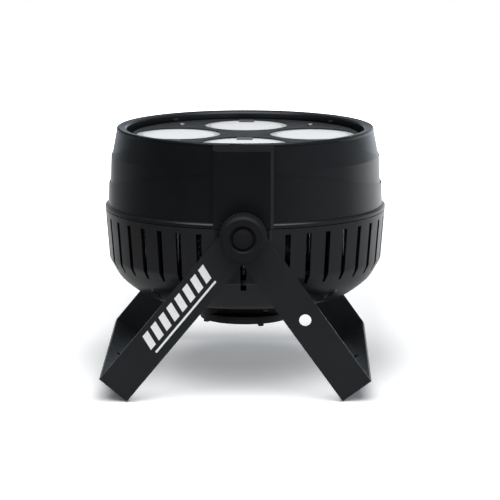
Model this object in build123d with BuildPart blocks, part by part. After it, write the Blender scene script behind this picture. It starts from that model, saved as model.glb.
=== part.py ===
"""Par can light: a lens-up LED par standing on its two crossed brackets.

Frame: millimetres, +Z up, the body's axis is the Z axis and the floor is z = 0.
The tilt axis runs along Y, through both pivot pads.
"""

from build123d import *
from math import asin, atan2, cos, degrees, hypot, radians, sin
import os

# ---------------------------------------------------------------- driving dimensions
# Body
RIM_Z = 220.0  # top of the rim
RIM_R = 113.5  # outer radius of the rim
RIM_INNER_R = 104.9  # opening inside the rim
RIM_ROUND = 1.7  # rounding of the rim's outer edge
RIM_BEVEL = 1.4  # bevel on the rim's inner edge
RIM_SINK = 0.8  # how far the rim's top falls towards its inner edge
SEAM_Z = 148.0  # where the two housings meet
SEAM_GAP = 0.3  # half of the visible groove between them
LIP_R = 123.8  # largest radius, at the seam
LIP_H = 3.6  # height of the front housing's lip
SHOULDER_Z = 195.5  # where the front housing's cone turns nearly upright
SHOULDER_R = 117.5
SKIRT_R = 119.2  # the same surface at the seam
WALL = 2.6  # moulding wall thickness
MIDDLE_STEP = 0.8  # how far the middle layer stands out
MIDDLE_TOP_R = 115.1  # its top edge, just below the rim
MIDDLE_TOP_Z = 216.8
LOWER_STEP = 2.1  # how far the lowest layer stands out

# Bowl
BOWL_TOP_R = 123.7
KNEE_R = 120.3  # where the side turns under
KNEE_Z = 106.5
FLOOR_Z = 71.5  # underside of the bowl
FLOOR_R = 83.0  # edge of the flat underside
BOWL_CURVE = ((117.9, 100.4), (111.3, 89.4), (100.6, 79.9))  # (radius, height) on the way down

# Vents
VENT_COUNT = 40
VENT_W = 4.9
VENT_TOP_Z = 142.6
VENT_LOW_Z = 97.6
VENT_TAPER = 9.0  # height of the narrowing lower end
PAD_VENT_LOW_Z = 93.5  # the short vents at the pads
PAD_VENT_TOP_Z = 121.0

# Pivot pads and tilt axis
PIVOT_Z = 144.3
PAD_Y = 125.5  # outer face of the pad
PAD_W = 51.5
PAD_BEVEL = 2.6
PAD_TOP_Z = 219.2
PAD_SLOPE = 4.6  # how far the pad's top falls from the rim to the pad's face
PAD_LOW_Z = 99.6
PAD_LOW_W = 49.0
PAD_DEPTH = 20.0  # how far the pad's block runs in from its face
INSERT_R = 9.0  # threaded insert moulded into the pad
HOLLOW_Z = 184.0  # middle of the hollow behind the pad
HOLLOW_H = 50.0
HOLLOW_T = 10.0

# Optics
PANEL_TOP_Z = 213.4
PANEL_T = 1.2
PANEL_R = 99.8
GROOVE_Z = 209.0  # bottom of the groove round the panel
LEDGE_LOW_Z = 204.0  # underside of the ledge that carries the panel
LEDGE_W = 1.1
LENS_RING_R = 59.0  # from the body's axis to a lens's axis
OPENING_R = 37.4
LENS_R = 39.5
LENS_CROWN_R = 31.5
PANEL_SCREW_R = 81.6

# Light engine
PLATE_Z = 156.0  # underside of the plate that carries the LED modules
PLATE_T = 4.0
PLATE_R = 98.0
SINK_R = 97.0
FIN_LOW_Z = 104.0
FIN_T = 1.6
FAN_W = 92.0
FAN_T = 25.0

# Brackets
STRIP_T = 2.5
OUTER_FACE_Y = 133.1  # outer face of the outer bracket's leg
INNER_FACE_Y = 129.8
OUTER_LENGTH = 174.8  # pivot to the outer face of the base
INNER_LENGTH = 166.9
OUTER_FOOT_W = 30.1
INNER_FOOT_W = 29.8
OUTER_HEAD_W = 30.6
INNER_HEAD_W = 31.0
BEND_R = 4.0  # outside radius of the bends
BOLT_HOLE_R = 5.2  # clearance for an M10 bolt
BASE_HOLE_R = 6.5  # clearance for an M12 clamp bolt
LEG_HOLE_AT = 90.4  # leg hole's distance from the pivot

# Clamp
STUD_R = 5.0
STUD_HOLE_R = 5.08
KNOB_R = 20.3
KNOB_T = 19.3
FLUTES = 40

# Control pod
POD_R = 41.0
POD_FLAT_Y = 27.0  # the front of the pod is cut flat here
POD_FLANGE_T = 2.0  # the round flange that the cover screws into
COVER_R = 40.0
COVER_LOW_Z = 49.2
COVER_TOP_Z = 53.9
COVER_SCREW_R = 36.9
COVER_SCREW_START = -67.5  # degrees
COVER_HEAD_R = 2.65
COVER_HEAD_H = 2.2
COVER_SHANK_R = 1.35
COVER_SHANK_L = 6.4
COVER_POCKET_R = 34.6  # the room inside the cover and the pod's flange
CABLE_WAY_W = 36.0  # opening between the bowl and the pod
CABLE_WAY_H = 26.0

# Sockets on the underside
SOCKET_X = 62.0
SOCKET_Y = 17.5
SOCKET_FLANGE_W = 26.0
SOCKET_FLANGE_H = 31.0
SOCKET_BODY_R = 12.0
SOCKET_FLANGE_T = 2.0
SOCKET_DEPTH = 22.0  # from the flange's face to the end of the body
SOCKET_RECESS = 14.0
SOCKET_HOLES = ((-9.5, -12), (9.5, 12))  # from the socket's middle
SOCKET_SHANK_R = 1.5

HOUSING_SCREW_R = 104.0  # from the axis, at 45 degrees
HOUSING_SCREW_Z = 90.0  # the heads' seat, in pockets from below
HOUSING_SCREW_L = 85.0
HOUSING_HEAD_R = 3.8
PILLAR_R = 5.5
PILLAR_H = 34.0
SCREW_DEPTH = 20.0  # how deep the pillars are drilled
M4_THREAD_R = 1.8
M4_CLEAR_R = 2.3
FIT = 0.3  # gap between separate mouldings

BASED = (Align.CENTER, Align.CENTER, Align.MIN)  # standing on its location
HUNG = (Align.CENTER, Align.CENTER, Align.MAX)  # hanging below it

pieces = {}


def keep(name, builder):
    """Label a finished piece and remember it for export."""
    builder.part.label = name
    pieces[name] = builder.part


def on_axis(angle, radius, height=0.0):
    """A point at an azimuth in degrees, counted from the front (-Y) towards +X."""
    return (radius * sin(radians(angle)), -radius * cos(radians(angle)), height)


DIAGONALS = (45, 135, 225, 315)
QUARTERS = (0, 90, 180, 270)


# ---------------------------------------------------------------- front housing
def step_cutter(low_z, mid, top):
    """Everything above a line that climbs from the sides towards the pivot pads.

    low_z is the line's height at the sides; mid and top are (distance from the
    X axis, height) further along it. The line is the same front and back.
    """
    ceiling = RIM_Z + 10
    with BuildPart() as cutter:
        with BuildSketch(Plane.YZ):
            with BuildLine():
                ThreePointArc((0, low_z), mid, top)
                Polyline(top, (top[0], ceiling), (0, ceiling), (0, low_z))
            make_face()
            mirror(about=Plane.YZ)
        extrude(amount=2 * LIP_R, both=True)
    return cutter.part


def housing_layer(stand_out, low_z, top_r, top_z):
    """A solid of revolution with the front housing's outer shape, moved out."""
    with BuildPart() as layer:
        with BuildSketch(Plane.XZ):
            Polygon(
                (0, low_z),
                (SKIRT_R + stand_out, low_z),
                (SHOULDER_R + stand_out, SHOULDER_Z),
                (top_r, top_z),
                (0, top_z),
                align=None,
            )
        revolve(axis=Axis.Z)
    return layer.part


HOUSING_LOW_Z = SEAM_Z + SEAM_GAP
CONE_TOP = (RIM_R - 0.3, RIM_Z - RIM_ROUND)
middle_layer = housing_layer(MIDDLE_STEP, HOUSING_LOW_Z, MIDDLE_TOP_R, MIDDLE_TOP_Z)
middle_layer -= step_cutter(195.0, (46, 203.5), (86, 221))
lower_layer = housing_layer(LOWER_STEP, HOUSING_LOW_Z, *CONE_TOP)
lower_layer -= step_cutter(170.1, (88.5, 184.8), (126, 195.6))

with BuildPart() as front_housing:
    add(housing_layer(0, HOUSING_LOW_Z, *CONE_TOP))
    add(middle_layer)
    add(lower_layer)
    with BuildSketch(Plane.XZ):  # rim and lip
        with BuildLine():
            Polyline(
                (RIM_INNER_R - 1, RIM_Z - 6),
                (RIM_R, RIM_Z - 4),
                (RIM_R, RIM_Z - RIM_ROUND),
            )
            RadiusArc((RIM_R, RIM_Z - RIM_ROUND), (RIM_R - RIM_ROUND, RIM_Z), -RIM_ROUND)
            Polyline(
                (RIM_R - RIM_ROUND, RIM_Z),
                (RIM_INNER_R - 1, RIM_Z),
                (RIM_INNER_R - 1, RIM_Z - 6),
            )
        make_face()
        with BuildLine():
            Polyline(
                (SKIRT_R, HOUSING_LOW_Z),
                (LIP_R, HOUSING_LOW_Z),
                (LIP_R, HOUSING_LOW_Z + LIP_H - 1),
                (LIP_R - 1, HOUSING_LOW_Z + LIP_H),
                (SKIRT_R, HOUSING_LOW_Z + LIP_H + 1.5),
                (SKIRT_R, HOUSING_LOW_Z),
            )
        make_face()
    revolve(axis=Axis.Z)
    # Pivot pads, bevelled at the sides, with a sloping top
    for side in (-1, 1):
        pad_h = PAD_TOP_Z - HOUSING_LOW_Z
        outermost = 0 if side < 0 else -1
        with Locations((0, side * (PAD_Y - PAD_DEPTH / 2), HOUSING_LOW_Z + pad_h / 2)):
            Box(PAD_W, PAD_DEPTH, pad_h)
        outer = front_housing.faces().filter_by(Axis.Y).sort_by(Axis.Y)[outermost]
        chamfer(outer.edges().filter_by(Axis.Z), PAD_BEVEL)
    with BuildSketch(Plane.YZ):
        for side in (-1, 1):
            Polygon(
                (side * RIM_R, PAD_TOP_Z),
                (side * PAD_Y, PAD_TOP_Z - PAD_SLOPE),
                (side * (PAD_Y + 1), PAD_TOP_Z - PAD_SLOPE),
                (side * (PAD_Y + 1), RIM_Z + 1),
                (side * RIM_R, RIM_Z + 1),
                align=None,
            )
    extrude(amount=PAD_W, both=True, mode=Mode.SUBTRACT)
    # The inside: a hollow below the rim, the rim's opening and the panel's ledge
    with BuildSketch(Plane.XZ):
        Polygon(
            (0, 0),
            (SKIRT_R - WALL, 0),
            (SKIRT_R - WALL, HOUSING_LOW_Z),
            (SHOULDER_R - WALL, SHOULDER_Z),
            (RIM_R - 1.6 * WALL, RIM_Z - 2 * WALL),
            (RIM_INNER_R + WALL, RIM_Z - 2 * WALL),
            (RIM_INNER_R + WALL, LEDGE_LOW_Z),
            (PANEL_R - LEDGE_W, LEDGE_LOW_Z),
            (PANEL_R - LEDGE_W, PANEL_TOP_Z - PANEL_T),
            (PANEL_R, PANEL_TOP_Z - PANEL_T),
            (PANEL_R, GROOVE_Z),
            (RIM_INNER_R, GROOVE_Z),
            (RIM_INNER_R, RIM_Z - RIM_SINK - RIM_BEVEL),
            (RIM_INNER_R + RIM_BEVEL, RIM_Z - RIM_SINK),
            (RIM_R - RIM_ROUND, RIM_Z),
            (RIM_R - RIM_ROUND, RIM_Z + 5),
            (0, RIM_Z + 5),
            align=None,
        )
    revolve(axis=Axis.Z, mode=Mode.SUBTRACT)
    # Hollow pads
    hollow_w = PAD_W - 2 * PAD_BEVEL - 2 * WALL
    for side in (-1, 1):
        with Locations((0, side * (PAD_Y - 1.2 * WALL - HOLLOW_T / 2), HOLLOW_Z)):
            Box(hollow_w, HOLLOW_T, HOLLOW_H, mode=Mode.SUBTRACT)
    # Screw pillars down to the LED plate, each on a web
    pillar_low = PLATE_Z + PLATE_T
    with BuildSketch(Plane.XY.offset(pillar_low)):
        for angle in DIAGONALS:
            with Locations(Location(on_axis(angle, (HOUSING_SCREW_R + SHOULDER_R) / 2), angle)):
                Rectangle(2, SHOULDER_R - HOUSING_SCREW_R)
    extrude(amount=PILLAR_H)
    with Locations(*[on_axis(a, HOUSING_SCREW_R, pillar_low) for a in DIAGONALS]):
        Cylinder(PILLAR_R, PILLAR_H, align=BASED)
        Cylinder(M4_THREAD_R, SCREW_DEPTH, align=BASED, mode=Mode.SUBTRACT)
    # Seat for the pivot inserts
    with Locations(Location((0, 0, PIVOT_Z), (90, 0, 0))):
        Cylinder(INSERT_R + 0.05, 2 * PAD_Y + 10, mode=Mode.SUBTRACT)
keep("front_housing", front_housing)


# ---------------------------------------------------------------- rear housing
def bowl_outline(inset, top_z):
    """Half of the bowl's section, from the seam to the axis, moved in by inset."""
    Polyline((0, top_z), (BOWL_TOP_R - inset, top_z), (KNEE_R - inset, KNEE_Z))
    (high_r, high_z), (mid_r, mid_z), (low_r, low_z) = BOWL_CURVE
    Spline(
        (KNEE_R - inset, KNEE_Z),
        (high_r - inset, high_z + inset / 3),
        (mid_r - inset, mid_z + inset / 2),
        (low_r - inset, low_z + inset),
        (FLOOR_R, FLOOR_Z + inset),
        tangents=((-0.08, -1), (-1, -0.2)),
    )
    Polyline((FLOOR_R, FLOOR_Z + inset), (0, FLOOR_Z + inset), (0, top_z))


def vent(angle, low_z, top_z, low_w):
    """A slot cut inwards from the side of the bowl, low_w wide at its lower end."""
    taper_z = low_z + VENT_TAPER
    start = on_axis(angle, 100)
    plane = Plane(origin=start, x_dir=on_axis(angle + 90, 1), z_dir=on_axis(angle, 1))
    with BuildSketch(plane) as slot:
        Polygon(
            (-VENT_W / 2, top_z),
            (-VENT_W / 2, taper_z),
            (-low_w / 2, low_z),
            (low_w / 2, low_z),
            (VENT_W / 2, taper_z),
            (VENT_W / 2, top_z),
            align=None,
        )
    extrude(slot.sketch, amount=30, mode=Mode.SUBTRACT)


BOWL_LOW_Z = SEAM_Z - SEAM_GAP
with BuildPart() as rear_housing:
    with BuildSketch(Plane.XZ):
        with BuildLine():
            bowl_outline(0, BOWL_LOW_Z)
        make_face()
    revolve(axis=Axis.Z)
    for side in (-1, 1):
        pad_h = BOWL_LOW_Z - PAD_LOW_Z
        with Locations((0, side * (PAD_Y - PAD_DEPTH / 2), BOWL_LOW_Z - pad_h / 2)):
            Box(PAD_LOW_W, PAD_DEPTH, pad_h)
        outer = rear_housing.faces().filter_by(Axis.Y).sort_by(Axis.Y)[0 if side < 0 else -1]
        bevelled = [edge for edge in outer.edges() if edge.center().Z < BOWL_LOW_Z - 1]
        chamfer(bevelled, PAD_BEVEL - 0.6)
    with BuildSketch(Plane.XZ):
        with BuildLine():
            bowl_outline(WALL, BOWL_LOW_Z + 5)
        make_face()
    revolve(axis=Axis.Z, mode=Mode.SUBTRACT)
    # A locating tongue inside the seam
    with BuildSketch(Plane.XY.offset(BOWL_LOW_Z - 2)):
        Circle(BOWL_TOP_R - 1)
        Circle(SKIRT_R - WALL - 2.5, mode=Mode.SUBTRACT)
    extrude(amount=2)
    # Vents all round, short ones at the pivot pads
    for step in range(VENT_COUNT):
        azimuth = step * 360 / VENT_COUNT
        from_pad = min(azimuth % 180, 180 - azimuth % 180)
        if from_pad > 12:
            vent(azimuth, VENT_LOW_Z, VENT_TOP_Z, VENT_W / 2)
        elif from_pad < 1:
            vent(azimuth, PAD_VENT_LOW_Z, PAD_VENT_TOP_Z, VENT_W)
    # Pillars for the long screws, with the heads' pockets from below
    sleeve_low = HOUSING_SCREW_Z - 4
    with Locations(*[on_axis(a, HOUSING_SCREW_R, sleeve_low) for a in DIAGONALS]):
        Cylinder(PILLAR_R + 1, PLATE_Z - sleeve_low, align=BASED)
    with Locations(*[on_axis(a, HOUSING_SCREW_R, HOUSING_SCREW_Z) for a in DIAGONALS]):
        Cylinder(HOUSING_HEAD_R + 0.6, 20, align=HUNG, mode=Mode.SUBTRACT)
        Cylinder(M4_CLEAR_R, PLATE_Z, align=BASED, mode=Mode.SUBTRACT)
    # Openings in the flat underside: the pod's cable way and the four sockets
    with BuildSketch(Plane.XY.offset(FLOOR_Z)):
        Rectangle(CABLE_WAY_W + 4, CABLE_WAY_H + 4)
        for side in (-1, 1):
            with Locations((side * SOCKET_X, -SOCKET_Y), (side * SOCKET_X, SOCKET_Y)):
                Circle(SOCKET_BODY_R + 0.2)
    extrude(amount=WALL + 1, mode=Mode.SUBTRACT)
    with Locations(Location((0, 0, PIVOT_Z), (90, 0, 0))):
        Cylinder(INSERT_R + 0.05, 2 * PAD_Y + 10, mode=Mode.SUBTRACT)
keep("rear_housing", rear_housing)


# ---------------------------------------------------------------- front panel
PANEL_SHANK_R = 1.5
with BuildPart() as front_panel:
    with BuildSketch(Plane.XY.offset(PANEL_TOP_Z - PANEL_T)):
        Circle(PANEL_R - FIT)
        with PolarLocations(LENS_RING_R, 4):
            Circle(OPENING_R, mode=Mode.SUBTRACT)
        with Locations(*[on_axis(a, PANEL_SCREW_R) for a in DIAGONALS]):
            Circle(PANEL_SHANK_R + 0.1, mode=Mode.SUBTRACT)
    extrude(amount=PANEL_T)
keep("front_panel", front_panel)


# ---------------------------------------------------------------- screws
def pan_screws(places, head_r, head_h, shank_r, shank_l, up):
    """Pan head screws with a cross recess; places are the points under the heads."""
    turn = 0 if up else 180
    with BuildPart() as screws:
        with Locations(*[Location(place, (turn, 0, 0)) for place in places]):
            Cylinder(head_r, head_h, align=BASED)
            Cylinder(shank_r, shank_l, align=HUNG)
        crowns = screws.edges().filter_by(GeomType.CIRCLE)
        top = [e for e in crowns if abs(e.radius - head_r) < 0.01]
        level = places[0][2] + (head_h if up else -head_h)
        fillet([e for e in top if abs(e.center().Z - level) < 0.01], head_h * 0.4)
        with Locations(*[Location(place, (turn, 0, 0)) for place in places]):
            with Locations((0, 0, head_h)):
                Box(head_r, head_r / 4, head_h * 0.9, mode=Mode.SUBTRACT)
                Box(head_r / 4, head_r, head_h * 0.9, mode=Mode.SUBTRACT)
    return screws


panel_places = [on_axis(a, PANEL_SCREW_R, PANEL_TOP_Z) for a in DIAGONALS]
keep("panel_screws", pan_screws(panel_places, 2.6, 1.2, PANEL_SHANK_R, 10, True))
housing_places = [on_axis(a, HOUSING_SCREW_R, HOUSING_SCREW_Z) for a in DIAGONALS]
keep(
    "housing_screws",
    pan_screws(housing_places, HOUSING_HEAD_R, 2.6, M4_THREAD_R, HOUSING_SCREW_L, False),
)
cover_places = [
    on_axis(COVER_SCREW_START + 90 + 90 * i, COVER_SCREW_R, COVER_LOW_Z) for i in range(4)
]


# ---------------------------------------------------------------- optics
FLANGE_TOP_Z = PANEL_TOP_Z - PANEL_T - 0.05
FLANGE_LOW_Z = FLANGE_TOP_Z - 2.4
CROWN_TOP_Z = FLANGE_TOP_Z + 1.0
CLIP_W = 13.4
CLIP_REACH = 17.0  # from the opening's edge over the lens
CLIP_T = 0.4
CLIP_PAD_L = 13.6  # the raised end of the clip
CLIP_PAD_T = 1.3


def make_lens(angle):
    """A milky lens: a thin flange with a raised, slightly domed crown.

    The front and back lenses have a notch for a clip in their +Y edge.
    """
    x, y, _ = on_axis(angle, LENS_RING_R)
    with BuildPart() as lens:
        with BuildSketch(Plane(origin=(x, y, 0), x_dir=(1, 0, 0), z_dir=(0, -1, 0))):
            with BuildLine():
                Polyline((0, FLANGE_LOW_Z), (LENS_R, FLANGE_LOW_Z), (LENS_R, FLANGE_TOP_Z))
                Polyline((LENS_R, FLANGE_TOP_Z), (LENS_CROWN_R + 0.8, FLANGE_TOP_Z))
                Line((LENS_CROWN_R + 0.8, FLANGE_TOP_Z), (LENS_CROWN_R, CROWN_TOP_Z - 0.5))
                ThreePointArc(
                    (LENS_CROWN_R, CROWN_TOP_Z - 0.5),
                    (LENS_CROWN_R / 2, CROWN_TOP_Z - 0.1),
                    (1, CROWN_TOP_Z),
                )
                Polyline((1, CROWN_TOP_Z), (0, CROWN_TOP_Z), (0, FLANGE_LOW_Z))
            make_face()
        revolve(axis=Axis((x, y, 0), (0, 0, 1)))
        if angle in (0, 180):
            with Locations((0, y + OPENING_R, FLANGE_TOP_Z)):
                Box(CLIP_W + 0.4, 2 * CLIP_REACH + 0.4, 5, align=BASED, mode=Mode.SUBTRACT)
    return lens


for lens_name, lens_angle in zip(("front", "right", "back", "left"), QUARTERS):
    keep(f"lens_{lens_name}", make_lens(lens_angle))

with BuildPart() as lens_clips:  # on the +Y edge of the front and back openings
    for ring_y in (-LENS_RING_R, LENS_RING_R):
        with BuildSketch(Plane.XY.offset(FLANGE_TOP_Z + 0.05)):
            with Locations((0, ring_y + OPENING_R)):
                Rectangle(CLIP_W, 2 * CLIP_REACH)
            with Locations((0, ring_y)):
                Circle(OPENING_R - 0.05, mode=Mode.INTERSECT)
        extrude(amount=CLIP_T)
        pad_y = ring_y + OPENING_R - CLIP_REACH + CLIP_PAD_L / 2
        with Locations((0, pad_y, FLANGE_TOP_Z + 0.05)):
            Box(CLIP_W, CLIP_PAD_L, CLIP_PAD_T, align=BASED)
keep("lens_clips", lens_clips)

MODULE_R = 9.5
MODULE_TOP_Z = PLATE_Z + PLATE_T + 1.8
CUP_TOP_Z = FLANGE_LOW_Z - 0.05
CUP_LOW_R = 11.0
CUP_MID_R, CUP_MID_Z = 28.0, 182.0
CUP_TOP_R = 36.0
CUP_WALL = 1.4
with BuildPart() as reflectors:
    for angle in QUARTERS:
        x, y, _ = on_axis(angle, LENS_RING_R)
        with BuildSketch(Plane(origin=(x, y, 0), x_dir=(1, 0, 0), z_dir=(0, -1, 0))):
            with BuildLine():
                ThreePointArc(
                    (CUP_LOW_R, MODULE_TOP_Z),
                    (CUP_MID_R, CUP_MID_Z),
                    (CUP_TOP_R, CUP_TOP_Z),
                )
                Line((CUP_TOP_R, CUP_TOP_Z), (CUP_TOP_R + CUP_WALL, CUP_TOP_Z))
                ThreePointArc(
                    (CUP_TOP_R + CUP_WALL, CUP_TOP_Z),
                    (CUP_MID_R + CUP_WALL, CUP_MID_Z - 0.6),
                    (CUP_LOW_R + CUP_WALL, MODULE_TOP_Z),
                )
                Line((CUP_LOW_R + CUP_WALL, MODULE_TOP_Z), (CUP_LOW_R, MODULE_TOP_Z))
            make_face()
        revolve(axis=Axis((x, y, 0), (0, 0, 1)))
keep("reflectors", reflectors)

with BuildPart() as led_modules:
    with PolarLocations(LENS_RING_R, 4):
        with Locations((0, 0, PLATE_Z + PLATE_T)):
            Box(28, 28, 1.4, align=BASED)
            Cylinder(MODULE_R, MODULE_TOP_Z - PLATE_Z - PLATE_T, align=BASED)
keep("led_modules", led_modules)

with BuildPart() as led_plate:
    with BuildSketch(Plane.XY.offset(PLATE_Z)):
        Circle(PLATE_R)
        with Locations(*[on_axis(a, HOUSING_SCREW_R - 4) for a in DIAGONALS]):
            Circle(PILLAR_R + 4)
        with Locations(*[on_axis(a, HOUSING_SCREW_R) for a in DIAGONALS]):
            Circle(M4_CLEAR_R, mode=Mode.SUBTRACT)
    extrude(amount=PLATE_T)
keep("led_plate", led_plate)

SINK_BASE = 6.0
FIN_IN_R = 68.0
FIN_MID_R = (FIN_IN_R + SINK_R) / 2
with BuildPart() as heat_sink:
    with BuildSketch(Plane.XY.offset(PLATE_Z)):
        Circle(SINK_R)
        with Locations(*[on_axis(a, HOUSING_SCREW_R) for a in DIAGONALS]):
            Circle(PILLAR_R + 1.5, mode=Mode.SUBTRACT)
    extrude(amount=-SINK_BASE)
    with BuildSketch(Plane.XY.offset(PLATE_Z - SINK_BASE)):
        for step in range(VENT_COUNT):
            azimuth = step * 360 / VENT_COUNT
            with Locations(Location(on_axis(azimuth, FIN_MID_R), azimuth)):
                Rectangle(FIN_T, SINK_R - FIN_IN_R)
        with Locations(*[on_axis(a, HOUSING_SCREW_R) for a in DIAGONALS]):
            Circle(PILLAR_R + 1.5, mode=Mode.SUBTRACT)
    extrude(amount=-(PLATE_Z - SINK_BASE - FIN_LOW_Z))
keep("heat_sink", heat_sink)

# ---------------------------------------------------------------- fan
FAN_TOP_Z = PLATE_Z - SINK_BASE
FAN_BORE_R = 43.0
FAN_HOLE_PITCH = 82.5
FAN_HUB_R = 18.0
FAN_PIN_R = 2.0
BLADES = 7
with BuildPart() as fan_frame:
    with BuildSketch(Plane.XY.offset(FAN_TOP_Z)):
        RectangleRounded(FAN_W, FAN_W, 5)
        Circle(FAN_BORE_R, mode=Mode.SUBTRACT)
        with GridLocations(FAN_HOLE_PITCH, FAN_HOLE_PITCH, 2, 2):
            Circle(2.2, mode=Mode.SUBTRACT)
    extrude(amount=-FAN_T)
    with BuildSketch(Plane.XY.offset(FAN_TOP_Z - FAN_T)):
        Circle(FAN_HUB_R + 1)
        with PolarLocations(0, 4, start_angle=20):
            with Locations((FAN_BORE_R / 2, 0)):
                Rectangle(FAN_BORE_R + 1, 3)
    extrude(amount=3)
    with Locations((0, 0, FAN_TOP_Z - FAN_T)):
        Cylinder(FAN_PIN_R, 12, align=BASED)
keep("fan_frame", fan_frame)

with BuildPart() as fan_rotor:
    hub_low = FAN_TOP_Z - FAN_T + 4
    with Locations((0, 0, hub_low)):
        Cylinder(FAN_HUB_R, 18, align=BASED)
    for step in range(BLADES):
        blade_angle = step * 360 / BLADES
        x, y, z = on_axis(blade_angle, 29, hub_low + 9)
        with Locations(Location((x, y, z), (0, 0, blade_angle)) * Location((0, 0, 0), (0, 38, 0))):
            Box(18, 24, 1.4)
    with Locations((0, 0, hub_low)):
        Cylinder(FAN_PIN_R + 0.05, 10, align=BASED, mode=Mode.SUBTRACT)
keep("fan_rotor", fan_rotor)

# ---------------------------------------------------------------- power supply
BOARD_Z = 92.0
BOARD_T = 1.6
DRIVER_W, DRIVER_H = 82.0, 114.0
STANDOFF_INSET = 5.0
STANDOFFS = [
    (side_x * (DRIVER_W / 2 - STANDOFF_INSET), side_y * (DRIVER_H / 2 - STANDOFF_INSET))
    for side_x in (-1, 1)
    for side_y in (-1, 1)
]
with BuildPart() as driver_standoffs:
    with Locations(*[(x, y, FLOOR_Z + WALL) for x, y in STANDOFFS]):
        Cylinder(3.2, BOARD_Z - FLOOR_Z - WALL, align=BASED)
keep("driver_standoffs", driver_standoffs)

with BuildPart() as driver_board:
    with Locations((0, 0, BOARD_Z)):
        Box(DRIVER_W, DRIVER_H, BOARD_T, align=BASED)
    with Locations((-14, 22, BOARD_Z + BOARD_T)):  # transformer
        Box(32, 28, 22, align=BASED)
    with Locations((20, 30, BOARD_Z + BOARD_T), (20, 8, BOARD_Z + BOARD_T)):  # capacitors
        Cylinder(9, 20, align=BASED)
    with Locations((-18, -24, BOARD_Z + BOARD_T), (16, -26, BOARD_Z + BOARD_T)):  # filters
        Box(20, 24, 15, align=BASED)
keep("driver_board", driver_board)

# ---------------------------------------------------------------- control pod
POD_WALL = 2.4
POD_FRAME_W = 58.0
POD_FRAME_TOP_Z = 63.4
POD_RECESS = 1.2  # depth of the port and the sensor in the front wall
with BuildPart() as pod_housing:
    with BuildSketch(Plane.XY.offset(COVER_TOP_Z)):
        Circle(POD_R)
        with Locations((0, -POD_FLAT_Y)):
            Rectangle(3 * POD_R, POD_R, align=(Align.CENTER, Align.MAX), mode=Mode.SUBTRACT)
    extrude(amount=FLOOR_Z - COVER_TOP_Z)
    inner_h = FLOOR_Z - COVER_TOP_Z - POD_WALL
    pod_frame_h = POD_FRAME_TOP_Z - COVER_TOP_Z
    with BuildSketch(Plane.XY.offset(COVER_TOP_Z)):
        Circle(POD_R - POD_WALL)
        with Locations((0, -POD_FLAT_Y + POD_WALL)):
            Rectangle(3 * POD_R, POD_R, align=(Align.CENTER, Align.MAX), mode=Mode.SUBTRACT)
    extrude(amount=inner_h, mode=Mode.SUBTRACT)
    with BuildSketch(Plane.XY.offset(COVER_TOP_Z)):
        Circle(POD_R)
        Circle(COVER_POCKET_R, mode=Mode.SUBTRACT)
        with Locations((0, -POD_FLAT_Y + POD_WALL + 1)):
            Rectangle(3 * POD_R, POD_R, align=(Align.CENTER, Align.MAX))
        Circle(POD_R, mode=Mode.INTERSECT)
        with Locations(*[place[:2] for place in cover_places]):
            Circle(COVER_SHANK_R, mode=Mode.SUBTRACT)
    extrude(amount=POD_FLANGE_T)
    with BuildSketch(Plane.XY.offset(COVER_TOP_Z + inner_h)):
        Rectangle(CABLE_WAY_W, CABLE_WAY_H)
    extrude(amount=POD_WALL + 1, mode=Mode.SUBTRACT)
    # Raised frame, and recesses for a port, a sensor and a microphone, on the flat front
    with BuildSketch(Plane(origin=(0, -POD_FLAT_Y, 0), x_dir=(1, 0, 0), z_dir=(0, -1, 0))):
        with Locations((0, (COVER_TOP_Z + POD_FRAME_TOP_Z) / 2)):
            RectangleRounded(POD_FRAME_W, pod_frame_h - 0.2, 1.6)
            RectangleRounded(POD_FRAME_W - 3, pod_frame_h - 3, 0.8, mode=Mode.SUBTRACT)
    extrude(amount=0.8)
    with BuildSketch(Plane(origin=(0, -POD_FLAT_Y, 0), x_dir=(1, 0, 0), z_dir=(0, -1, 0))):
        with Locations((-19.5, 58)):  # service port
            RectangleRounded(10.2, 4.4, 1)
        with Locations((18.6, 59.5)):  # sensor window
            Rectangle(5.2, 2.8)
        with Locations((-11.7, 58.4)):  # microphone
            Circle(0.7)
    extrude(amount=-POD_RECESS, mode=Mode.SUBTRACT)
keep("pod_housing", pod_housing)

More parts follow.
